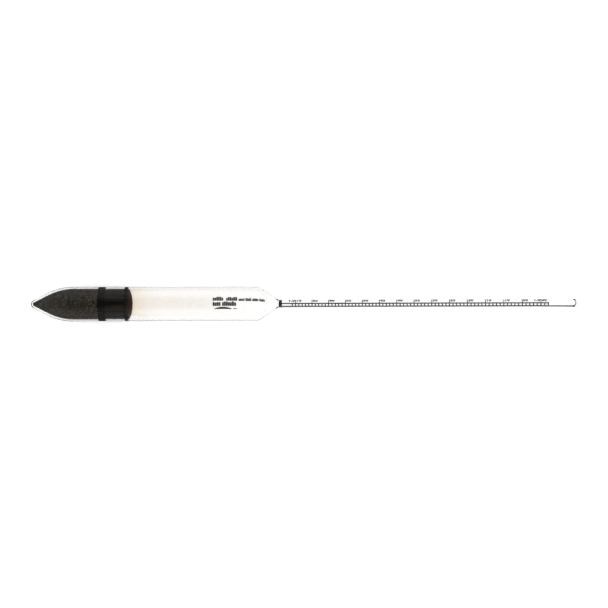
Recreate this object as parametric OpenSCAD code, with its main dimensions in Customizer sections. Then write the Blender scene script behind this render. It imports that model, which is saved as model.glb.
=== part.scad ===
// Glass hydrometer for brewing and winemaking: a sealed, weighted glass float.
// It lies along X with its nose at -X and its stem tip at +X, as it rests on a table.
// The origin is on the table, under the middle of its length.

/* [Glass float] */
// Length from the nose to the tip of the stem
total_len = 305; // [300:1:330]
// Diameter of the barrel
bulb_od = 19.2; // [18.8:0.1:21]
// Glass thickness of the barrel
bulb_wall = 0.8; // [0.7:0.1:1.1]
// Length from the nose to the joint where the stem is fused on
body_len = 138.4; // [134:0.2:142]
// Half angle of the pointed nose
nose_angle = 28; // [24:1:34]
// Radius of the rounded nose tip
nose_tip_r = 2.4; // [2:0.1:3]
// Radius that blends the nose into the barrel
nose_blend_r = 32; // [24:1:36]
// Thickness of the glass at the very tip of the nose
tip_glass = 1.1; // [0.9:0.1:1.6]
// Half angle of the shoulder between the barrel and the stem
shoulder_angle = 35; // [30:1:42]
// Radius that blends the barrel into the shoulder
shoulder_blend_r = 5.5; // [4:0.5:7]
// Radius that blends the shoulder into the stem
neck_blend_r = 2.5; // [2:0.5:4]

/* [Stem] */
// Diameter of the stem
stem_od = 4.8; // [4.7:0.1:5.2]
// Glass thickness of the stem
stem_wall = 0.25; // [0.2:0.05:0.4]
// Thickness of the glass that closes the tip
tip_wall = 0.9; // [0.6:0.1:3]

/* [Ballast] */
// Station of the top of the grit, measured from the nose along the axis
grit_top = 36.3; // [30:0.1:36.5]
// Length of the resin seal along the axis
seal_len = 20.9; // [12:0.1:21.1]
// How far the grit side of the seal bulges at the axis
seal_bulge_low = 1.7; // [1:0.1:2.5]
// How far the free side of the seal bulges at the axis
seal_bulge_high = 2.6; // [1:0.1:3]
// Shrinkage gap between the middle of the seal and the glass
seal_gap = 0.15; // [0.1:0.05:0.3]

/* [Scale] */
// Highest specific gravity on the scale, nearest the bulb
sg_high = 1.07; // [1.05:0.005:1.07]
// Distance from the fused joint to the mark of the highest gravity
first_mark = 9.3; // [8:0.1:12]
// Number of small divisions of 0.001 below the highest gravity
divisions = 72; // [52:1:73]
// Length of the rolled scale paper
scale_len = 150.7; // [148:0.1:152]
// Thickness of the papers
paper_t = 0.1; // [0.08:0.01:0.12]
// Width of a printed line
line_w = 0.6; // [0.3:0.05:0.65]

/* [Label] */
// Station where the middle of the label sheet starts, measured from the nose
label_start = 57.7; // [57.7:0.1:80]
// Station where the label sheet ends, in the shoulder
label_end = 131.5; // [128:0.5:132]
// Angle that the curled label sheet covers
label_arc = 232; // [180:2:260]

/* [Hidden] */
$fn = 96;

bulb_r = bulb_od / 2;
bore_r = bulb_r - bulb_wall;
stem_r = stem_od / 2;
stem_bore_r = stem_r - stem_wall;
bore_end = total_len - tip_wall;
arc_steps = 16;

// Glass outline. A point is [radius, station]; stations run from the nose along the axis.
inner_tip_r = nose_tip_r / 2;
inner_blend_r = nose_blend_r - 1;
shoulder_len = ((bulb_r - stem_r) * cos(shoulder_angle)
    + (shoulder_blend_r + neck_blend_r) * (1 - cos(shoulder_angle))) / sin(shoulder_angle);
barrel_end = body_len - shoulder_len;

// Points of an arc about [r, s]; 90 degrees is outward and 180 degrees is toward the nose.
function arc(r, s, radius, from, to) = [for (i = [0 : arc_steps])
    let (t = from + (to - from) * i / arc_steps)
    [r + radius * sin(t), s + radius * cos(t)]];

// Outline from the nose tip to the neck, at a depth under the outer surface of the barrel
function body_outline(depth, tip_s, tip_r, blend_r, neck_r) =
    let (
        barrel_r = bulb_r - depth,
        nose_end = tip_s + ((barrel_r - blend_r) * cos(nose_angle) + blend_r
            - tip_r * (1 - sin(nose_angle))) / sin(nose_angle),
        neck_s = barrel_end + ((bulb_r - neck_r) * cos(shoulder_angle) - depth
            + (shoulder_blend_r + neck_blend_r) * (1 - cos(shoulder_angle)))
            / sin(shoulder_angle)
    )
    concat(
        arc(0, tip_s + tip_r, tip_r, 180, 90 + nose_angle),
        arc(barrel_r - blend_r, nose_end, blend_r, 90 + nose_angle, 90),
        arc(bulb_r - shoulder_blend_r, barrel_end, shoulder_blend_r - depth,
            90, 90 - shoulder_angle),
        arc(neck_r + neck_blend_r, neck_s, neck_blend_r, 270 - shoulder_angle, 270),
        [[neck_r, body_len]]
    );

// Outline of the inside of the glass, moved inward by a gap
function inner_outline(gap) = body_outline(bulb_wall + gap, tip_glass + gap, inner_tip_r - gap,
    inner_blend_r - gap, stem_bore_r - gap);

outer_body = body_outline(0, 0, nose_tip_r, nose_blend_r, stem_r);
inner_body = inner_outline(0);

// Float law: the hydrometer sinks until it displaces its own mass of liquid.
function slice(p, q) = PI / 3 * (q[1] - p[1]) * (p[0] * p[0] + p[0] * q[0] + q[0] * q[0]);
function volume(pts, i = 1) = i == len(pts) ? 0 : slice(pts[i - 1], pts[i]) + volume(pts, i + 1);
stem_area = PI * stem_r * stem_r;
body_volume = volume(outer_body);
float_mass = sg_high * (body_volume + stem_area * first_mark);
function station(sg) = body_len + (float_mass / sg - body_volume) / stem_area;

// Scale sheet, rolled into a tube inside the stem
paper_gap = 0.06;
paper_r = stem_bore_r - paper_gap;
ink_t = 0.04;
paper_start = body_len - 0.2;
paper_end = paper_start + scale_len;
bar_len = 1.9;
seam_w = 0.4;
division = 0.001;
spare_marks = 1;
label_every = 5;
// Angles run from the top of the lying instrument toward +Y.
rail_top = 2;
rail_bottom = -46;
tick_top = 80;
numeral_low = 31;
numeral_high = 80;
digit_w = 1.2;
digit_pitch = 1.55;
digit_line = 0.32;
// Printed strokes that meet are kept apart by a hairline, as an angle and as a length.
print_gap = 0.6;
hairline = 0.02;

// Segments of a figure: top, upper right, lower right, bottom, lower left, upper left, middle
FIGURES = ["1111110", "0110000", "1101101", "1111001", "0110011",
    "1011011", "1011111", "1110000", "1111111", "1111011"];

// Label sheet, curled against the inside of the bulb
label_gap = 0.1;
label_low_edge = -48;
text_big = 14;
text_small = 6;

// Lays a piece that was built upright, with its nose at z = 0, down along X.
module lay_down() {
    translate([-total_len / 2, 0, bulb_r])
        rotate([0, 90, 0])
            children();
}

// Turns a 2D [radius, station] shape about the axis between two angles from the top.
module sweep(from, to) {
    rotate([0, 0, 180 - to])
        rotate_extrude(angle = to - from)
            children();
}

// A printed patch on the outside of the rolled scale sheet
module scale_patch(s_from, s_to, from, to) {
    sweep(from, to)
        translate([paper_r, s_from])
            square([ink_t, s_to - s_from]);
}

// The filled inside of the bulb, a gap away from the glass
module bulb_inside(gap) {
    polygon(concat(inner_outline(gap), [[0, body_len]]));
}

// A layer of a given thickness that lines the bulb between two stations and two angles
module lining(gap, thickness, s_from, s_to, from, to) {
    sweep(from, to)
        intersection() {
            difference() {
                bulb_inside(gap);
                bulb_inside(gap + thickness);
            }
            translate([0, s_from])
                square([bulb_r, s_to - s_from]);
        }
}

// Radius of the circle that rises by bulge over the bore
function dome_r(bulge) = (bore_r * bore_r + bulge * bulge) / (2 * bulge);

// Half of a dome outline over the bore, from the axis to the wall, with its crown at [0, crown].
// side is -1 for a dome that bulges toward the nose and 1 for one that bulges toward the stem.
function dome(crown, bulge, side) =
    let (radius = dome_r(bulge), half = asin(bore_r / radius))
    [for (i = [0 : arc_steps])
        let (t = half * i / arc_steps)
        [radius * sin(t), crown - side * radius * (1 - cos(t))]];

module bulb_glass() {
    color([0.86, 0.93, 0.94, 0.35])
        lay_down()
            rotate_extrude()
                polygon(concat(
                    outer_body,
                    [for (i = [len(inner_body) - 1 : -1 : 0]) inner_body[i]]));
}

module stem_glass() {
    color([0.86, 0.93, 0.94, 0.35])
        lay_down()
            rotate_extrude()
                polygon(concat(
                    [[stem_bore_r, body_len], [stem_r, body_len]],
                    arc(0, total_len - stem_r, stem_r, 90, 0),
                    arc(0, bore_end - stem_bore_r, stem_bore_r, 0, 90)));
}

module ballast_grit() {
    grit_gap = 0.05;
    color([0.17, 0.16, 0.15])
        lay_down()
            rotate_extrude()
                difference() {
                    intersection() {
                        bulb_inside(grit_gap);
                        square([bulb_r, grit_top + seal_bulge_low]);
                    }
                    polygon(concat(
                        dome(grit_top, seal_bulge_low, -1),
                        [[bulb_r, grit_top + seal_bulge_low], [bulb_r, body_len], [0, body_len]]));
                }
}

module ballast_seal() {
    seal_top = grit_top + seal_len;
    upper = dome(seal_top, seal_bulge_high, 1);
    wall_from = grit_top + seal_bulge_low;
    wall_to = seal_top - seal_bulge_high;
    ring_low = 4;
    ring_high = 2;
    color([0.11, 0.07, 0.05])
        lay_down()
            rotate_extrude()
                polygon(concat(
                    dome(grit_top, seal_bulge_low, -1),
                    [
                        [bore_r, wall_from + ring_low],
                        [bore_r - seal_gap, wall_from + ring_low + seal_gap],
                        [bore_r - seal_gap, wall_to - ring_high - seal_gap],
                        [bore_r, wall_to - ring_high]
                    ],
                    [for (i = [arc_steps : -1 : 0]) upper[i]]));
}

module scale_paper() {
    color([0.97, 0.96, 0.93])
        lay_down()
            difference() {
                translate([0, 0, paper_start])
                    cylinder(r = paper_r, h = scale_len);
                translate([0, 0, paper_start - 1])
                    cylinder(r = paper_r - paper_t, h = scale_len + 2);
                // The two edges of the rolled sheet meet at the back.
                translate([0, -seam_w / 2, paper_start - 1])
                    cube([stem_r, seam_w, scale_len + 2]);
            }
}

module scale_graduations() {
    rail_half = line_w / paper_r * 90 / PI;
    thick_half = rail_half * 1.5;
    tick_w = line_w * 0.7;
    color([0.08, 0.08, 0.09])
        lay_down() {
            // A thin and a thick rail with a rung for each mark, and a long tick at each figure
            for (rail = [[rail_top, rail_half], [rail_bottom, thick_half]])
                scale_patch(paper_start + bar_len, paper_end,
                    rail[0] - rail[1], rail[0] + rail[1]);
            for (i = [-spare_marks : divisions]) {
                s = station(sg_high - division * i);
                scale_patch(s - line_w / 2, s + line_w / 2,
                    rail_bottom + thick_half + print_gap, rail_top - rail_half - print_gap);
                if (i % label_every == 0)
                    scale_patch(s - tick_w / 2, s + tick_w / 2,
                        rail_top + rail_half + print_gap, tick_top);
            }
        }
}

// One figure of the scale, with its left edge at station s
module figure(value, s) {
    code = FIGURES[value];
    line_deg = digit_line / paper_r * 180 / PI;
    middle = (numeral_low + numeral_high) / 2;
    right = s + digit_w;
    rows = [numeral_high - line_deg, middle - line_deg / 2, numeral_low];
    // Strokes along the axis, between the two columns
    for (row = [[0, 0], [6, 1], [3, 2]])
        if (code[row[0]] == "1")
            scale_patch(s + digit_line + hairline, right - digit_line - hairline,
                rows[row[1]], rows[row[1]] + line_deg);
    // Strokes around the paper
    for (stroke = [[1, right, middle, numeral_high], [2, right, numeral_low, middle - print_gap],
            [4, s + digit_line, numeral_low, middle - print_gap],
            [5, s + digit_line, middle, numeral_high]])
        if (code[stroke[0]] == "1")
            scale_patch(stroke[1] - digit_line, stroke[1], stroke[2], stroke[3]);
}

module scale_numerals() {
    tick_room = 0.45;
    last_label = floor(divisions / label_every);
    color([0.08, 0.08, 0.09])
        lay_down()
            for (n = [0 : last_label]) {
                points = round(((sg_high - 1) / division) - n * label_every);
                s = station(1 + points * division);
                figure(floor(points / 10), s + tick_room);
                figure(points % 10, s + tick_room + digit_pitch);
                // The first and the last figure are written out in full, as 1.0 before the tick.
                if (n == 0 || n == last_label) {
                    figure(0, s - tick_room - digit_w);
                    scale_patch(s - tick_room - digit_w - 0.6, s - tick_room - digit_w - 0.3,
                        numeral_low, numeral_low + 9);
                    figure(1, s - tick_room - digit_w - 0.9 - digit_w);
                }
            }
}

module index_bar() {
    color([0.05, 0.05, 0.05])
        lay_down()
            translate([0, 0, paper_start])
                difference() {
                    cylinder(r = paper_r + ink_t, h = bar_len);
                    translate([0, 0, -1])
                        cylinder(r = paper_r, h = bar_len + 2);
                }
}

module scale_adhesive() {
    dab_len = 4;
    dab_from = 136;
    dab_to = 184;
    run_from = -61;
    run_to = -38;
    run_t = 0.2;
    run_tip = 45;
    tip_s = bore_end - stem_bore_r;
    color([0.62, 0.5, 0.36])
        lay_down() {
            for (s = [paper_start + bar_len + 2, paper_end - dab_len - 2])
                sweep(dab_from, dab_to)
                    translate([paper_r, s])
                        square([paper_gap, dab_len]);
            // A dab at the side, and the run of adhesive that crept from it toward the tip
            sweep(run_from, run_to)
                translate([paper_r + ink_t, paper_end - dab_len])
                    square([paper_gap - ink_t, dab_len]);
            sweep(run_from, run_to) {
                translate([stem_bore_r - run_t, paper_end])
                    square([run_t, tip_s - paper_end]);
                polygon(concat(
                    arc(0, tip_s, stem_bore_r, 90, run_tip),
                    arc(0, tip_s, stem_bore_r - run_t, run_tip, 90)));
            }
        }
}

module label_paper() {
    cut_r = dome_r(seal_bulge_high);
    color([0.96, 0.95, 0.91])
        lay_down()
            difference() {
                lining(label_gap, paper_t, label_start - seal_bulge_high, label_end,
                    label_low_edge, label_low_edge + label_arc);
                // The start edge is cut to the curve of the seal.
                translate([0, 0, label_start - cut_r])
                    rotate([0, 90, 0])
                        cylinder(r = cut_r, h = 2 * bulb_od, center = true);
            }
}

// One word of the label, shown as a plain bar of ink
module word(s_from, length, angle, height) {
    lining(label_gap - ink_t, ink_t, s_from, s_from + length, angle - height / 2, angle + height / 2);
}

module label_print() {
    column = 101.9;
    first_line = 16;
    second_line = -2;
    underline = -17;
    color([0.1, 0.1, 0.1])
        lay_down() {
            // Upper line: two large words, then smaller ones that run into the shoulder
            word(column, 6, first_line, text_big);
            word(column + 7.2, 6.6, first_line, text_big);
            for (i = [0 : 3])
                word(column + 15 + 3.7 * i, 2.9, first_line - 2, text_small);
            // Second line, bold
            word(column, 5, second_line, text_big);
            word(column + 6, 7.4, second_line, text_big);
            // Underline and the short dash that follows it
            word(column + 1, 9.6, underline, 4);
            word(column + 11.6, 1.2, underline, 4);
        }
}

module label_adhesive() {
    dab_len = 6;
    dab_from = 120;
    dab_deg = 30;
    color([0.85, 0.76, 0.55])
        lay_down()
            for (s = [label_start + 4, barrel_end - dab_len - 4])
                lining(0, label_gap, s, s + dab_len, dab_from, dab_from + dab_deg);
}

bulb_glass();
stem_glass();
ballast_grit();
ballast_seal();
scale_paper();
scale_graduations();
scale_numerals();
index_bar();
scale_adhesive();
label_paper();
label_print();
label_adhesive();
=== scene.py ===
# %% [markdown]
# # A glass hydrometer on a pale table
# The frame comes first. It holds every part of the instrument at its real size. The pieces made below
# take their main sizes and places from its boxes, so that they line up with the parts they stand for.
# Finer things, such as tints, curls and the print on the label, are given one by one.

# %% Load the frame
import math
import random

import bmesh
import bpy
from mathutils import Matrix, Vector, noise


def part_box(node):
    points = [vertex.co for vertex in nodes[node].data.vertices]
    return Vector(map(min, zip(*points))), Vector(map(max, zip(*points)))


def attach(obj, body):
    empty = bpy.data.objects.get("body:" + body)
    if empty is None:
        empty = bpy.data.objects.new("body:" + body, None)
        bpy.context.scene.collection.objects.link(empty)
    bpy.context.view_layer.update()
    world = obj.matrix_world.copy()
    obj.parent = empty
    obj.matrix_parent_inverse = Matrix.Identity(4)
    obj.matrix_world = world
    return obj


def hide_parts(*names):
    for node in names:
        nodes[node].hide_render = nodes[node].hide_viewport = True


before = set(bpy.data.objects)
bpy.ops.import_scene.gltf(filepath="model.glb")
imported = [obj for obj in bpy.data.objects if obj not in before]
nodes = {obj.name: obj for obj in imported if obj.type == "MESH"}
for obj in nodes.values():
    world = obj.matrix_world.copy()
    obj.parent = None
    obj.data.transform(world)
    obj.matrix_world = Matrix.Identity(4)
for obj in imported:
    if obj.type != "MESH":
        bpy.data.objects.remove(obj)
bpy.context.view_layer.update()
print("nodes in the frame:", sorted(nodes))

# %% [markdown]
# The instrument lies along X. A place on it is given the way a glassblower would give it: a station
# along the axis from the nose, a radius, and an angle round the glass from the top toward +Y. One
# function turns those three into a point, and every piece is built through it.

# %% Stations, radii and angles
MM = 0.001
bulb_low, bulb_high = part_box("bulb_glass")
stem_low, stem_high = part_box("stem_glass")
nose_x = bulb_low.x
total_len = (stem_high.x - nose_x) / MM
body_len = (stem_low.x - nose_x) / MM
bulb_r = (bulb_high.z - bulb_low.z) / 2 / MM
stem_r = (stem_high.z - stem_low.z) / 2 / MM
axis_z = bulb_r


def place(station, radius, angle):
    """The point at a station and a radius in millimetres, and an angle in degrees from the top."""
    turn = math.radians(angle)
    across, up = radius * math.sin(turn), axis_z + radius * math.cos(turn)
    return Vector((nose_x / MM + station, across, up)) * MM


def span(node):
    """The first and the last station of a node of the frame."""
    low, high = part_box(node)
    return (low.x - nose_x) / MM, (high.x - nose_x) / MM


print(f"length {total_len:.1f}, barrel {2 * bulb_r:.1f}, stem {2 * stem_r:.2f} mm")
print(f"the stem is fused on at {body_len:.1f} mm")

# %% [markdown]
# The camera looks straight down through a long lens, so the glass is seen side on with hardly any
# perspective and the marks of the scale stay evenly spaced.

# %% Camera
camera_data = bpy.data.cameras.new("camera")
camera_data.lens = 100
camera_data.sensor_width = 36
camera_data.clip_start = 0.01
view_width = 0.3394
aim = (-0.0001, -0.00025)
roll_angle = math.radians(-0.15)
camera_height = view_width * camera_data.lens / camera_data.sensor_width
camera = bpy.data.objects.new("camera", camera_data)
camera.location = (*aim, axis_z * MM + camera_height)
camera.rotation_euler = (0, 0, roll_angle)
bpy.context.scene.collection.objects.link(camera)
bpy.context.scene.camera = camera
print(f"camera {camera_height:.2f} m above the axis")

# %% [markdown]
# Finishes and lights are networks of nodes. A few small helpers keep the cells below short: most of
# them add one node, set its values, join what goes in and return what comes out.

# %% Node helpers
def link(tree, start, end):
    """Join an output socket to an input socket."""
    tree.links.new(start, end)


def add(tree, kind, **values):
    """A new shader node, with the values of its named inputs."""
    made = tree.nodes.new("ShaderNode" + kind)
    for name, value in values.items():
        made.inputs[name.replace("_", " ")].default_value = value
    return made


def combine(tree, operation, *values):
    """The output of a Math node over values that are each a socket or a number."""
    made = add(tree, "Math")
    made.operation = operation
    for socket, value in zip(made.inputs, values):
        if isinstance(value, (int, float)):
            socket.default_value = value
        else:
            link(tree, value, socket)
    return made.outputs[0]


def gradient(tree, value, stops):
    """A colour ramp over a value; each stop is a position and a linear colour or a grey."""
    ramp = add(tree, "ValToRGB")
    elements = ramp.color_ramp.elements
    while len(elements) < len(stops):
        elements.new(0.5)
    for element, (position, tone) in zip(elements, stops):
        element.position = position
        element.color = (*tone, 1) if isinstance(tone, tuple) else (tone, tone, tone, 1)
    link(tree, value, ramp.inputs[0])
    return ramp.outputs[0]


# %% Colour and pattern helpers
def rescale(tree, value, smooth=False, **limits):
    """A value mapped from one range to another; the ranges are 0 to 1 where no limit is given."""
    made = add(tree, "MapRange", **limits)
    if smooth:
        made.interpolation_type = "SMOOTHSTEP"
    link(tree, value, made.inputs["Value"])
    return made.outputs[0]


def product(tree, color, factor):
    """Two colours multiplied channel by channel."""
    made = add(tree, "VectorMath")
    made.operation = "MULTIPLY"
    link(tree, color, made.inputs[0])
    link(tree, factor, made.inputs[1])
    return made.outputs[0]


def blend(tree, factor, start, end, mode="MIX"):
    """A colour from start to end by a factor; each colour is a socket or a constant."""
    made = add(tree, "Mix")
    made.data_type = "RGBA"
    made.blend_type = mode
    link(tree, factor, made.inputs["Factor"])
    for name, color in (("A", start), ("B", end)):
        if isinstance(color, tuple):
            made.inputs[name].default_value = color
        else:
            link(tree, color, made.inputs[name])
    return made.outputs["Result"]


def pattern(tree, kind, point, **values):
    """A texture node of a kind, laid out over a point in space."""
    made = add(tree, kind, **values)
    link(tree, point, made.inputs["Vector"])
    return made


def stretched(tree, point, scale):
    """A point with each of its axes scaled, for patterns that run along the instrument."""
    made = add(tree, "Mapping", Scale=scale)
    link(tree, point, made.inputs["Vector"])
    return made.outputs[0]


def emboss(tree, height, target, strength, distance):
    """Bump the surface by a height, through a Normal socket."""
    bump = add(tree, "Bump", Strength=strength, Distance=distance)
    link(tree, height, bump.inputs["Height"])
    link(tree, bump.outputs[0], target)


def object_point(tree):
    """The point being shaded, in metres from the origin of the frame."""
    return add(tree, "TexCoord").outputs["Object"]


def along_and_across(tree, point):
    """The X and the Y of a point."""
    split = add(tree, "SeparateXYZ")
    link(tree, point, split.inputs[0])
    return split.outputs["X"], split.outputs["Y"]


# %% [markdown]
# Glass shows its surroundings more than itself, so the light is built before any glass. A bright sky
# all round lights the paper and the table softly. What the glass mirrors is another matter: dark cloth
# hung round a table gives the walls a thin dark outline and keeps the ballast dark. The sky does both,
# by telling the first bounces off the glass from the rest.

# %% Sky
# A ray that crosses the whole instrument is bent by at least this many surfaces of glass.
THROUGH = 3


def first_bounces(tree, rays):
    """1 for a mirrored or bent ray that hasn't crossed the whole instrument."""
    shallow = combine(tree, "LESS_THAN", rays.outputs["Transmission Depth"], THROUGH)
    return combine(tree, "MULTIPLY", rays.outputs["Is Glossy Ray"], shallow)


world = bpy.data.worlds.new("soft_sky")
world.use_nodes = True
sky = world.node_tree
sky.nodes.clear()
split = add(sky, "SeparateXYZ")
link(sky, add(sky, "TexCoord").outputs["Generated"], split.inputs[0])
height = split.outputs["Z"]


def sky_layer(strength, stops):
    """A part of the sky, shaded by height from the horizon (0) to overhead (1)."""
    layer = add(sky, "Background", Strength=strength)
    link(sky, gradient(sky, height, stops), layer.inputs["Color"])
    return layer.outputs[0]


def choose(factor, otherwise, chosen):
    """The chosen light where the factor is 1, otherwise the other."""
    pick = add(sky, "MixShader")
    for socket, source in zip(pick.inputs, (factor, otherwise, chosen)):
        link(sky, source, socket)
    return pick.outputs[0]


soft_light = sky_layer(1.6, [(0.0, 1.0), (1.0, 0.72)])
dark_cloth = sky_layer(1.0, [(0.0, 0.25), (0.8, 0.12), (0.97, 0.02)])
seen_through = sky_layer(1.0, [(0.0, 1.0), (0.15, 0.9), (0.45, 0.02)])
rays = add(sky, "LightPath")
by_glass = choose(first_bounces(sky, rays), seen_through, dark_cloth)
sky_out = add(sky, "OutputWorld")
link(sky, choose(rays.outputs["Is Glossy Ray"], soft_light, by_glass), sky_out.inputs[0])
bpy.context.scene.world = world
bpy.context.scene.view_settings.view_transform = "Standard"
print(f"the sky has three layers; a ray is through the instrument after {THROUGH} surfaces")

# %% [markdown]
# The table is white and a little overexposed. For the first bounces off the glass it is a narrow white
# card under the instrument with the dark cloth beyond it. A real card would need a second object that
# the camera must not see, so the table's own finish plays both parts.

# %% Table
def plain_material(name):
    """A new node material with one Principled shader, returned with its tree and that shader."""
    material = bpy.data.materials.new(name)
    material.use_nodes = True
    tree = material.node_tree
    return material, tree, tree.nodes["Principled BSDF"]


table_size = 3.0
table_mesh = bpy.data.meshes.new("table")
half = table_size / 2
table_mesh.from_pydata([(-half, -half, 0), (half, -half, 0), (half, half, 0), (-half, half, 0)],
                       [], [(0, 1, 2, 3)])
table = bpy.data.objects.new("table", table_mesh)
bpy.context.scene.collection.objects.link(table)
table_finish, tree, shader = plain_material("pale_table")
shader.inputs["Roughness"].default_value = 0.9
shader.inputs["Specular IOR Level"].default_value = 0.0
shader.inputs["Emission Color"].default_value = (1, 1, 1, 1)
table_mesh.materials.append(table_finish)
print(f"the table is {table_size:.0f} m square")

# %% White card
rays = add(tree, "LightPath")
depth = rays.outputs["Transmission Depth"]
along, across = along_and_across(tree, object_point(tree))
# The card is this wide to each side. Past the tip of the stem it is cut off at a slant, which gives
# the tip a dark outline.
card_half = 20 * MM
cut_angle = math.radians(55)
cut_softness = 20 * MM
beside = combine(tree, "DIVIDE", combine(tree, "ABSOLUTE", across), card_half * 2)
past = combine(tree, "SUBTRACT", combine(tree, "MULTIPLY", along, math.cos(cut_angle)),
               combine(tree, "MULTIPLY", across, math.sin(cut_angle)))
past = combine(tree, "SUBTRACT", past, total_len / 2 * MM * math.cos(cut_angle))
past = combine(tree, "MULTIPLY_ADD", past, 1 / cut_softness, 0.5)
card = gradient(tree, combine(tree, "MAXIMUM", beside, past), [(0.5, 0.9), (0.7, 0.08)])
# A ray mirrored by the outside of the glass sees dark cloth, and a bent one sees the card.
cloth_tone = (0.15, 0.15, 0.15, 1)
table_tone = (0.9, 0.9, 0.9, 1)
near_glass = blend(tree, combine(tree, "LESS_THAN", depth, 1), card, cloth_tone)
link(tree, blend(tree, first_bounces(tree, rays), table_tone, near_glass), shader.inputs["Base Color"])
# The glow overexposes the table a little, seen directly and through the whole instrument.
direct_glow, through_glow = 0.25, 0.3
seen_direct = combine(tree, "MULTIPLY", rays.outputs["Is Camera Ray"], direct_glow)
crossed = combine(tree, "GREATER_THAN", depth, THROUGH - 1)
glow = combine(tree, "ADD", seen_direct, combine(tree, "MULTIPLY", crossed, through_glow))
link(tree, glow, shader.inputs["Emission Strength"])
print(f"the card is {2 * card_half / MM:.0f} mm wide")

# %% [markdown]
# The glass float starts as one tube. The nose is drawn down to a point, the other end is drawn down
# to a shoulder and the stem is fused on. All of it is round, so a lathe shape is the honest way to
# make it: one outline outside, one inside, both spun about the axis. Glass needs both surfaces,
# because light bends at each of them, and the bright line along the wall comes from the inner one.

# %% Lathe
def arc(station, radius, size, start, end, steps=24):
    """Points of an arc about a station and a radius; 90 degrees is outward, 180 toward the nose."""
    turns = [math.radians(start + (end - start) * i / steps) for i in range(steps + 1)]
    return [(station + size * math.cos(t), radius + size * math.sin(t)) for t in turns]


def resample(rows, step):
    """The same outline with a point about every step millimetres."""
    result = [rows[0]]
    for (s0, r0), (s1, r1) in zip(rows, rows[1:]):
        pieces = max(1, round(math.hypot(s1 - s0, r1 - r0) / step))
        for i in range(1, pieces + 1):
            result.append((s0 + (s1 - s0) * i / pieces, r0 + (r1 - r0) * i / pieces))
    return result


def spin(bm, rows, segments, inward=False, shape=lambda station, radius, angle: radius):
    """Spin an outline about the axis. Rows of radius 0 close an end in a single vertex."""
    angles = [360 * i / segments for i in range(segments)]
    rings = []
    for station, radius in rows:
        if radius < 1e-6:
            rings.append([bm.verts.new(place(station, 0, 0))])
            continue
        rings.append([bm.verts.new(place(station, shape(station, radius, a), a)) for a in angles])
    for ring, following in zip(rings, rings[1:]):
        for i in range(segments):
            j = (i + 1) % segments
            corners = [ring[i % len(ring)], ring[j % len(ring)],
                       following[j % len(following)], following[i % len(following)]]
            corners = list(dict.fromkeys(corners))
            bm.faces.new(corners if inward else corners[::-1])


def piece(name, bm, material, smooth=True):
    """Turn a bmesh into an object that rides on the instrument's one body."""
    mesh = bpy.data.meshes.new(name)
    bm.to_mesh(mesh)
    bm.free()
    for face in mesh.polygons:
        face.use_smooth = smooth
    mesh.materials.append(material)
    made = bpy.data.objects.new(name, mesh)
    bpy.context.scene.collection.objects.link(made)
    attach(made, "root")
    print(f"{name}: {len(mesh.vertices)} vertices")
    return made


# %% Outline of the glass
bulb_wall = 0.8
stem_wall = 0.25
nose_angle = 28
nose_tip_r = 2.4
nose_blend_r = 32
tip_glass = 1.1
shoulder_angle = 35
shoulder_blend_r = 5.5
neck_blend_r = 2.5
tip_wall = 0.9
bore_r = bulb_r - bulb_wall
stem_bore_r = stem_r - stem_wall
NOSE_SIN = math.sin(math.radians(nose_angle))
NOSE_COS = math.cos(math.radians(nose_angle))
SHOULDER_SIN = math.sin(math.radians(shoulder_angle))
SHOULDER_COS = math.cos(math.radians(shoulder_angle))
blends = (shoulder_blend_r + neck_blend_r) * (1 - SHOULDER_COS)
barrel_end = body_len - ((bulb_r - stem_r) * SHOULDER_COS + blends) / SHOULDER_SIN


def body_outline(depth, tip, tip_r, blend_r, neck_r):
    """The outline from the nose tip to the neck, at a depth under the outside of the barrel."""
    barrel_r = bulb_r - depth
    nose_end = tip + ((barrel_r - blend_r) * NOSE_COS + blend_r - tip_r * (1 - NOSE_SIN)) / NOSE_SIN
    neck = barrel_end + ((bulb_r - neck_r) * SHOULDER_COS - depth + blends) / SHOULDER_SIN
    rows = arc(tip + tip_r, 0, tip_r, 180, 90 + nose_angle)
    rows[0] = (rows[0][0], 0)
    rows += arc(nose_end, barrel_r - blend_r, blend_r, 90 + nose_angle, 90)
    rows += arc(barrel_end, bulb_r - shoulder_blend_r, shoulder_blend_r - depth,
                90, 90 - shoulder_angle)
    rows += arc(neck, neck_r + neck_blend_r, neck_blend_r, 270 - shoulder_angle, 270)
    return rows


def inner_outline(gap):
    """The outline of the inside of the glass, moved inward by a gap."""
    return body_outline(bulb_wall + gap, tip_glass + gap, nose_tip_r / 2 - gap,
                        nose_blend_r - 1 - gap, stem_bore_r - gap)


def closed_tip(end, radius):
    """The rounded end of a rod or of a bore."""
    rows = arc(end - radius, 0, radius, 90, 0)
    rows[-1] = (end, 0)
    return rows


body_rows = body_outline(0, 0, nose_tip_r, nose_blend_r, stem_r)
outer_rows = body_rows + closed_tip(total_len, stem_r)
bore_end = total_len - tip_wall
inner_rows = inner_outline(0) + closed_tip(bore_end, stem_bore_r)


def inner_radius(station):
    """Radius of the inside of the glass at a station."""
    for (s0, r0), (s1, r1) in zip(inner_rows, inner_rows[1:]):
        if s0 <= station <= s1 and s1 > s0:
            return r0 + (r1 - r0) * (station - s0) / (s1 - s0)
    return stem_bore_r


print(f"barrel to {barrel_end:.1f}, bore ends at {bore_end:.1f} mm")

# %% [markdown]
# The tube is clear glass with hardly any tint. It could be a thin see-through shell, but then nothing
# would bend in it, so it is a solid between two skins with the index of real glass. Bent light would
# also put hard dark shadows on the papers, so the glass lets light that lands on them go straight.

# %% Clear glass
glass, tree, shader = plain_material("clear_glass")
shader.inputs["Base Color"].default_value = (1.0, 1.0, 1.0, 1)
shader.inputs["Roughness"].default_value = 0.0
shader.inputs["IOR"].default_value = 1.5
shader.inputs["Transmission Weight"].default_value = 1.0
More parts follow.
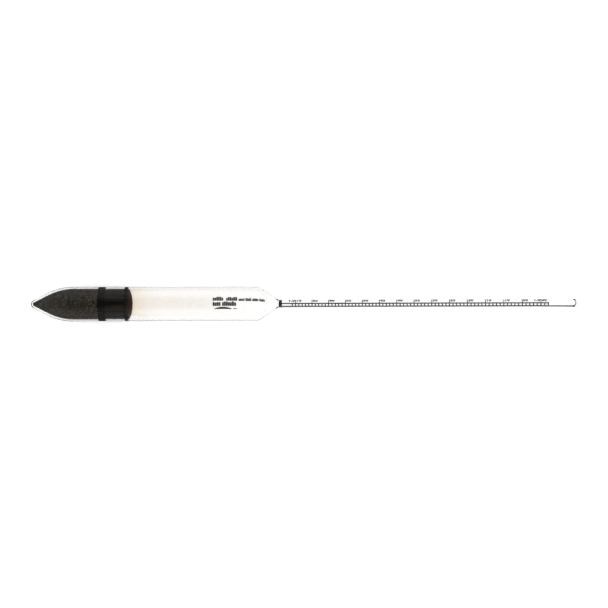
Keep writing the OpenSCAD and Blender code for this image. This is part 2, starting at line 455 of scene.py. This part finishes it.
# Drawing the tube leaves faint ripples that run along it.
drawn = stretched(tree, object_point(tree), (12, 260, 260))
ripple = pattern(tree, "TexNoise", drawn, Scale=1.0, Detail=1.0)
emboss(tree, ripple.outputs["Fac"], shader.inputs["Normal"], strength=0.05, distance=0.2 * MM)
# Light that falls on the paper and the grit, or leaves them, goes straight through.
rays = add(tree, "LightPath")
unbent = combine(tree, "MAXIMUM", rays.outputs["Is Shadow Ray"], rays.outputs["Is Diffuse Ray"])
straight = add(tree, "MixShader")
for socket, source in zip(straight.inputs, (unbent, shader.outputs[0],
                                            add(tree, "BsdfTransparent").outputs[0])):
    link(tree, source, socket)
link(tree, straight.outputs[0], tree.nodes["Material Output"].inputs["Surface"])
print(f"glass with an index of {shader.inputs['IOR'].default_value:.2f}")

# %% Glass float
GLASS_SEGMENTS = 128
glass_step = 0.8
bm = bmesh.new()
spin(bm, resample(outer_rows, glass_step), GLASS_SEGMENTS)
spin(bm, resample(inner_rows, glass_step), GLASS_SEGMENTS, inward=True)
glass_float = piece("glass_float", bm, glass)
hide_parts("bulb_glass", "stem_glass")

# %% [markdown]
# The ballast is loose grit, poured in through the open tube before the neck was closed. Thousands of
# separate grains would look right and cost far too much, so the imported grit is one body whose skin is
# pushed in and out by a cell pattern the size of a grain. The glass presses it flat, so the skin only
# ever moves inward.

# %% Grit finish
grit, tree, shader = plain_material("ballast_grit")
shader.inputs["Roughness"].default_value = 0.8
shader.inputs["Specular IOR Level"].default_value = 0.05
# Each grain has its own tone, and each clump of grains is lighter or darker as a whole.
point = object_point(tree)
grains = pattern(tree, "TexVoronoi", point, Scale=2600.0)
clumps = pattern(tree, "TexVoronoi", point, Scale=1150.0)
speckle = product(tree, grains.outputs["Color"], clumps.outputs["Color"])
link(tree, gradient(tree, speckle, [
    (0.0, (0.004, 0.0035, 0.003)), (0.3, (0.020, 0.017, 0.0125)), (0.8, (0.075, 0.066, 0.048))]),
    shader.inputs["Base Color"])
emboss(tree, grains.outputs["Distance"], shader.inputs["Normal"], strength=0.5, distance=0.1 * MM)
print(f"{grit.name}: {len(tree.nodes)} nodes")

# %% Ballast
seal_start, seal_end = span("ballast_seal")
seal_bulge_low = 1.7
seal_bulge_high = 2.6
grit_gap = 0.05
grain = 0.38
grain_depth = 0.16
GRIT_SEGMENTS = 220


def grit_skin(station, radius, angle):
    """Radius of the grit's skin, dimpled between its grains."""
    spot = place(station, radius, angle) / (grain * MM)
    nearest = noise.voronoi(spot)[0][0]
    return radius - grain_depth * min(1.0, nearest)


grit_rows = [(s, r) for s, r in inner_outline(grit_gap) if s < seal_start]
grit_rows += [(seal_start + seal_bulge_low, bore_r - grit_gap), (seal_start, 0)]
grit_step = 0.25
bm = bmesh.new()
spin(bm, resample(grit_rows, grit_step), GRIT_SEGMENTS, shape=grit_skin)
ballast = piece("packed_grit", bm, grit)
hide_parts("ballast_grit")

# %% [markdown]
# A block of resin, melted and poured in on top of the grit, keeps it down. It is almost black where
# it is thick and amber where it is thin, at its free edge. It grips the glass at its two ends and has
# shrunk away from it in the middle, which leaves a bright line there.

# %% Resin finish
resin, tree, shader = plain_material("seal_resin")
shader.inputs["Roughness"].default_value = 0.35
shader.inputs["Specular IOR Level"].default_value = 0.02
# The colour goes from nearly black to amber over the last millimetres before the free edge.
point = object_point(tree)
along, _ = along_and_across(tree, point)
thin_edge = 4.0
seal_end_x = nose_x + seal_end * MM
reach = rescale(tree, along, From_Min=seal_end_x - thin_edge * MM, From_Max=seal_end_x)
depths = gradient(tree, reach, [
    (0.0, (0.006, 0.005, 0.004)), (0.4, (0.012, 0.006, 0.0035)), (0.88, (0.025, 0.008, 0.003)),
    (1.0, (0.4, 0.16, 0.05))])
# Painted reflection: slightly lighter streaks run along the block, standing in for soft light mirrored
# by the resin.
painted_sheen_streaks = pattern(tree, "TexNoise", stretched(tree, point, (60, 700, 700)), Scale=1.0, Detail=2.0)
lift = rescale(tree, painted_sheen_streaks.outputs["Fac"], From_Min=0.4, From_Max=0.7, To_Min=0.6, To_Max=2.4)
link(tree, product(tree, depths, lift), shader.inputs["Base Color"])
cloud = pattern(tree, "TexNoise", point, Scale=900.0, Detail=3.0)
emboss(tree, cloud.outputs["Fac"], shader.inputs["Normal"], strength=0.15, distance=0.2 * MM)
print(f"{resin.name}: amber over the last {thin_edge:.0f} mm of the axis")

# %% Resin seal
seal_gap = 0.15
ring_low = 4.0
ring_high = 2.0


def dome_radius(bulge):
    """Radius of the sphere that rises by a bulge over the bore."""
    return (bore_r ** 2 + bulge ** 2) / (2 * bulge)


def dome(crown, bulge, side, steps=20):
    """Half a dome over the bore, from the axis to the wall; side 1 bulges toward the stem."""
    radius = dome_radius(bulge)
    half_turn = math.asin(bore_r / radius)
    turns = [half_turn * i / steps for i in range(steps + 1)]
    return [(crown - side * radius * (1 - math.cos(t)), radius * math.sin(t)) for t in turns]


wall_from = seal_start + seal_bulge_low
wall_to = seal_end - seal_bulge_high
# Where the resin grips the glass no film of air is left. Two skins in the same place would flicker, so
# the resin's skin lies a hair inside the glass there.
grip = 0.02
wet_r = bore_r + grip
seal_step = 0.6
seal_rows = dome(seal_start, seal_bulge_low, -1)[:-1] + [(wall_from, wet_r)]
seal_rows += [(wall_from + ring_low, wet_r), (wall_from + ring_low + seal_gap, bore_r - seal_gap),
              (wall_to - ring_high - seal_gap, bore_r - seal_gap), (wall_to - ring_high, wet_r)]
seal_rows += [(wall_to, wet_r)] + dome(seal_end, seal_bulge_high, 1)[-2::-1]
bm = bmesh.new()
spin(bm, resample(seal_rows, seal_step), GLASS_SEGMENTS)
seal = piece("resin_seal", bm, resin)
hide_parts("ballast_seal")

# %% [markdown]
# Both papers are thin sheets that were rolled and slid in. A sheet has two faces and edges, so it is
# built as a grid of stations and angles, once outside and once inside, and sewn up along its rim.

# %% Sheets
def sheet(bm, stations, angles, outer, thickness, slide=lambda station, angle: station):
    """A curved sheet over a grid; outer(station, angle) is the radius of its outer face."""
    def face_grid(depth):
        return [[bm.verts.new(place(slide(s, a), outer(slide(s, a), a) - depth, a)) for a in angles]
                for s in stations]

    top, under = face_grid(0), face_grid(thickness)
    end, side = len(stations) - 1, len(angles) - 1
    for i in range(end):
        for j in range(side):
            bm.faces.new((top[i][j], top[i + 1][j], top[i + 1][j + 1], top[i][j + 1]))
            bm.faces.new((under[i][j], under[i][j + 1], under[i + 1][j + 1], under[i + 1][j]))
    for i in range(end):
        bm.faces.new((top[i + 1][0], top[i][0], under[i][0], under[i + 1][0]))
        bm.faces.new((top[i][side], top[i + 1][side], under[i + 1][side], under[i][side]))
    for j in range(side):
        bm.faces.new((top[0][j], top[0][j + 1], under[0][j + 1], under[0][j]))
        bm.faces.new((top[end][j + 1], top[end][j], under[end][j], under[end][j + 1]))


def spread(start, end, step):
    """Evenly spaced values from start to end, about a step apart."""
    pieces = max(1, math.ceil(abs(end - start) / step))
    return [start + (end - start) * i / pieces for i in range(pieces + 1)]


# %% [markdown]
# Paper is matt, and only its fibres tell it from plastic. A picture of paper could be wrapped on, but
# noise gives fibres of the right size without one. Both papers need the same fibres in different
# colours, so they share one group of nodes that takes a colour and returns it with its threads.

# %% Paper fibre, shared by both papers
fibre = bpy.data.node_groups.new("paper_fibre", "ShaderNodeTree")
for name, kind, way in (("Vector", "Vector", "INPUT"), ("Scale", "Float", "INPUT"),
                        ("Color", "Color", "INPUT"), ("Depth", "Float", "INPUT"),
                        ("Color", "Color", "OUTPUT"), ("Normal", "Vector", "OUTPUT")):
    fibre.interface.new_socket(name=name, in_out=way, socket_type="NodeSocket" + kind)
inside = fibre.nodes.new("NodeGroupInput")
outside = fibre.nodes.new("NodeGroupOutput")
threads = pattern(fibre, "TexNoise", inside.outputs["Vector"], Detail=6.0, Roughness=0.7)
link(fibre, inside.outputs["Scale"], threads.inputs["Scale"])
shade = rescale(fibre, threads.outputs["Fac"], From_Min=0.3, From_Max=0.7, To_Min=0.94)
link(fibre, product(fibre, inside.outputs["Color"], shade), outside.inputs["Color"])
relief = add(fibre, "Bump", Strength=0.25)
link(fibre, threads.outputs["Fac"], relief.inputs["Height"])
link(fibre, inside.outputs["Depth"], relief.inputs["Distance"])
link(fibre, relief.outputs[0], outside.inputs["Normal"])
print(f"{fibre.name}: {len(fibre.nodes)} nodes")

# %% Papers
fibre_depth = 0.02 * MM


def paper_material(name, color, scale):
    """Paper with its fibres, in a colour given in linear values."""
    material, tree, shader = plain_material(name)
    group = tree.nodes.new("ShaderNodeGroup")
    group.node_tree = fibre
    group.inputs["Scale"].default_value = scale
    group.inputs["Color"].default_value = color
    group.inputs["Depth"].default_value = fibre_depth
    link(tree, object_point(tree), group.inputs["Vector"])
    link(tree, group.outputs["Color"], shader.inputs["Base Color"])
    link(tree, group.outputs["Normal"], shader.inputs["Normal"])
    shader.inputs["Roughness"].default_value = 0.85
    shader.inputs["Specular IOR Level"].default_value = 0.2
    return material, tree, group


scale_finish, _, _ = paper_material("scale_paper", (0.86, 0.855, 0.845, 1), 2200)
label_finish, tree, group = paper_material("label_paper", (0.86, 0.85, 0.835, 1), 1800)
print("paper finishes:", scale_finish.name, label_finish.name)

# %% Painted shade near the seal, and a darker band on the label
# Painted shade and reflected amber light: the paper next to the resin is darker and amber, and this
# fades out toward the stem.
point = object_point(tree)
along, across = along_and_across(tree, point)
painted_shade_len = 70 * MM
reach = rescale(tree, along, From_Min=seal_end_x, From_Max=seal_end_x + painted_shade_len)
painted_seal_shade = gradient(tree, reach, [
    (0.0, (0.73, 0.66, 0.53)), (0.05, (0.78, 0.72, 0.63)), (0.12, (0.82, 0.78, 0.735)),
    (0.25, (0.85, 0.82, 0.79)), (1.0, (0.86, 0.855, 0.84))])
# A blotchy darker band runs along the middle of the sheet and fades out partway along it.
dark_strip_side = 0.6 * MM
dark_strip_inner, dark_strip_outer = 1.5 * MM, 5 * MM
beside = combine(tree, "ABSOLUTE", combine(tree, "SUBTRACT", across, dark_strip_side))
middle = rescale(tree, beside, smooth=True, From_Min=dark_strip_outer, From_Max=dark_strip_inner, To_Max=0.9)
fading = rescale(tree, reach, From_Min=0.85, From_Max=0.55)
blotches = pattern(tree, "TexNoise", point, Scale=500.0, Detail=3.0)
patchy = rescale(tree, blotches.outputs["Fac"], From_Min=0.3, From_Max=0.6, To_Min=0.6)
mask = combine(tree, "MULTIPLY", combine(tree, "MULTIPLY", middle, fading), patchy)
dark_strip_tone = (0.88, 0.865, 0.83, 1)
link(tree, blend(tree, mask, painted_seal_shade, dark_strip_tone, "MULTIPLY"), group.inputs["Color"])
print(f"the tint reaches {painted_shade_len / MM:.0f} mm past the seal")

# %% Scale sheet
paper_t = 0.1
paper_from, paper_to = span("scale_paper")
paper_gap = 0.06
paper_r = stem_bore_r - paper_gap
roll_overlap = 30
tuck_depth = paper_t * 1.15


def roll(station, angle):
    """Radius of the rolled sheet; its last stretch tucks under its first."""
    tuck = max(0.0, min(1.0, (angle - (180 - roll_overlap)) / (2 * roll_overlap)))
    return paper_r - tuck * tuck_depth


bm = bmesh.new()
sheet(bm, spread(paper_from, paper_to, 4), spread(-180, 180 + roll_overlap, 6), roll, paper_t)
scale_sheet = piece("scale_sheet", bm, scale_finish)
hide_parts("scale_paper")

# %% Label sheet
seal_clearance = 0.5
label_low, label_to = span("label_paper")
label_from = seal_end + seal_clearance
label_gap = 0.1
label_low_edge = -48
label_arc = 232
curl = 0.35
curl_arc = 14


def label_radius(station, angle):
    """Radius of the label's outer face, which springs against the glass and lifts at its edge."""
    lift = max(0.0, 1 - (angle - label_low_edge) / curl_arc)
    return inner_radius(station) - label_gap - curl * lift * lift


def follow_seal(station, angle):
    """Slide the start of the label toward the nose, so that its edge follows the seal's dome."""
    cut_r = dome_radius(seal_bulge_high)
    across = min(cut_r, label_radius(station, angle) * abs(math.sin(math.radians(angle))))
    drop = cut_r - math.sqrt(cut_r ** 2 - across ** 2)
    return station - drop * (label_to - station) / (label_to - label_from)


bm = bmesh.new()
label_angles = spread(label_low_edge, label_low_edge + label_arc, 4)
sheet(bm, spread(label_from, label_to, 1), label_angles, label_radius, paper_t, follow_seal)
print(f"label from {label_low:.1f} at the sides and {label_from:.1f} at the top")
label_sheet = piece("label_sheet", bm, label_finish)
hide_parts("label_paper")

# %% [markdown]
# Ink is a skin on the paper. The ladder and the bar come from the frame with the ink finish. The
# figures are set in a plain font, cut into narrow bands so that they can bend, and wrapped round the
# rolled sheet. Their places follow the law of flotation: the mark for a gravity lies where the float
# displaces its own mass.

# %% Ink finish
ink, tree, shader = plain_material("printing_ink")
shader.inputs["Roughness"].default_value = 0.55
mottle = pattern(tree, "TexNoise", object_point(tree), Scale=4000.0, Detail=2.0)
link(tree, gradient(tree, mottle.outputs["Fac"], [
    (0.0, (0.006, 0.006, 0.007)), (1.0, (0.022, 0.021, 0.023))]), shader.inputs["Base Color"])


def dress(node, material):
    """Give a piece of the frame its finish."""
    nodes[node].data.materials.clear()
    nodes[node].data.materials.append(material)


dress("scale_graduations", ink)
dress("index_bar", ink)
print(f"{ink.name} on the ladder and the bar")

# %% Stations of the marks
def swept(rows):
    """Volume of the lathe shape with this outline, in cubic millimetres."""
    return sum(math.pi / 3 * (s1 - s0) * (r0 * r0 + r0 * r1 + r1 * r1)
               for (s0, r0), (s1, r1) in zip(rows, rows[1:]))


sg_high = 1.070
first_mark = 9.3
division = 0.001
label_every = 5
last_label = 14
body_volume = swept(body_rows)
stem_area = math.pi * stem_r ** 2
float_mass = sg_high * (body_volume + stem_area * first_mark)


def mark(gravity):
    """Station of the mark for a specific gravity."""
    return body_len + (float_mass / gravity - body_volume) / stem_area


print(f"mass {float_mass / 1000:.1f} g, 1.070 at {mark(1.07):.1f}, 1.000 at {mark(1.0):.1f} mm")

# %% Words bent round a cylinder
figure_widen = 1.1
boldness = 0.06
letter_space = 1.12
band = 0.12


def wrap_text(bm, words, station, angle, size, radius, depth):
    """Set words along the axis, bent round a cylinder, with their left end at a station."""
    curve = bpy.data.curves.new("words", "FONT")
    curve.body = words
    curve.size = size
    curve.extrude = depth / 2
    curve.offset = boldness * size
    curve.space_character = letter_space
    curve.resolution_u = 4
    setting = bpy.data.objects.new("words", curve)
    bpy.context.scene.collection.objects.link(setting)
    depsgraph = bpy.context.evaluated_depsgraph_get()
    mesh = bpy.data.meshes.new_from_object(setting.evaluated_get(depsgraph))
    flat = bmesh.new()
    flat.from_mesh(mesh)
    for height in spread(0, size, band)[1:-1]:
        everything = flat.verts[:] + flat.edges[:] + flat.faces[:]
        bmesh.ops.bisect_plane(flat, geom=everything, plane_co=(0, height, 0), plane_no=(0, 1, 0))
    moved = {}
    for v in flat.verts:
        turn = angle + math.degrees(v.co.y / radius)
        at = station + v.co.x * figure_widen
        moved[v] = bm.verts.new(place(at, radius + depth / 2 + v.co.z, turn))
    for f in flat.faces:
        bm.faces.new([moved[v] for v in f.verts])
    flat.free()
    bpy.data.meshes.remove(mesh)
    bpy.data.objects.remove(setting)
    bpy.data.curves.remove(curve)


# %% Figures
figure_size = 2.4
figure_angle = 31
ink_depth = 0.03
tick_room = 0.45
whole_number_width = 3.5
bm = bmesh.new()
for n in range(last_label + 1):
    points = round((sg_high - 1) / division) - n * label_every
    station = mark(1 + points * division)
    settings = [(f"{points:02d}", station + tick_room)]
    # The first and the last figure are written out in full, as 1.0 before the tick.
    if n in (0, last_label):
        settings.append(("1.0", station - tick_room - whole_number_width))
    for words, start in settings:
        wrap_text(bm, words, start, figure_angle, figure_size, paper_r, ink_depth)
figures = piece("scale_figures", bm, ink, smooth=False)
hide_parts("scale_numerals")

# %% [markdown]
# The label carries two lines of print. Real words would be a maker's own, so each is set as a run of
# small upright blocks, which reads as print from a distance and as nothing from close by.

# %% Blocks, words and strokes
letter_gap = 0.1
taper = 0.7


def block(bm, station, width, angle, height):
    """A block of ink on the label."""
    reach = math.degrees(height / inner_radius(station))
    sheet(bm, spread(station, station + width, 0.5), spread(angle, angle + reach, 2),
          lambda s, a: label_radius(s, a) + ink_depth, ink_depth)


def word(bm, station, length, angle, height, letter):
    """A word of blocks with uneven widths and heights, between two stations."""
    at = station
    while at < station + length - letter / 2:
        width = letter * random.uniform(0.75, 0.95)
        tall = height * random.choice((0.78, 0.85, 1.0))
        block(bm, at, min(width, station + length - at), angle, tall)
        at += width + letter * letter_gap


def flourish(bm, start, end, angle, sag, height):
    """A stroke that bows in its middle and tapers at both ends."""
    edges = []
    for station in spread(start, end, 0.4):
        along = 2 * (station - start) / (end - start) - 1
        middle = angle + sag * (along * along - 1)
        thick = height * (1 - taper * along * along)
        half_reach = math.degrees(thick / 2 / inner_radius(station))
        radius = label_radius(station, middle) + ink_depth
        edges.append([bm.verts.new(place(station, r, middle + turn))
                      for r in (radius, radius - ink_depth) for turn in (-half_reach, half_reach)])
    for (a, b, c, d), (e, f, g, h) in zip(edges, edges[1:]):
        for corners in ((a, e, f, b), (c, d, h, g), (a, c, g, e), (b, f, h, d)):
            bm.faces.new(corners)
    first, last = edges[0], edges[-1]
    bm.faces.new((first[0], first[1], first[3], first[2]))
    bm.faces.new((last[0], last[2], last[3], last[1]))


# %% Label print
random.seed(7)
column = 101.9
bm = bmesh.new()
# Each word has a start and a length along the label, an angle, a height and a letter width.
word(bm, column, 6.2, 11, 2.2, 1.1)
word(bm, column + 7.4, 6.2, 10.6, 2.1, 1.1)
for i in range(4):
    word(bm, column + 14.3 + 3.8 * i, 3.3, 10 - 0.5 * i, 1.6, 0.75)
word(bm, column, 4.4, -7.6, 2.4, 1.2)
word(bm, column + 5.2, 8.4, -7.6, 2.4, 1.2)
flourish(bm, column + 0.9, column + 10.4, -18.2, -3.6, 1.2)
flourish(bm, column + 11.2, column + 13.4, -17.5, 0, 0.5)
print_blocks = piece("label_words", bm, ink, smooth=False)
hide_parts("label_print")

# %% [markdown]
# Dabs of adhesive hold both papers. In the bulb it has dried pale and amber. In the stem it is dark
# brown, and the same dark finish runs on as a thin line along the glass toward the tip, beyond the end
# of the scale.

# %% Adhesives
def adhesive(name, pale, dark):
    """Dried adhesive, clouded from a pale to a dark colour."""
    material, tree, shader = plain_material(name)
    shader.inputs["Roughness"].default_value = 0.3
    cloud = pattern(tree, "TexNoise", object_point(tree), Scale=1500.0, Detail=2.0)
    link(tree, gradient(tree, cloud.outputs["Fac"], [(0.3, dark), (0.7, pale)]),
         shader.inputs["Base Color"])
    return material


for name, pale, dark in (("scale_adhesive", (0.13, 0.09, 0.08), (0.06, 0.04, 0.035)),
                         ("label_adhesive", (0.74, 0.62, 0.42), (0.60, 0.46, 0.26))):
    dress(name, adhesive(f"dried_{name}", pale, dark))
    print(f"{name} has its finish")
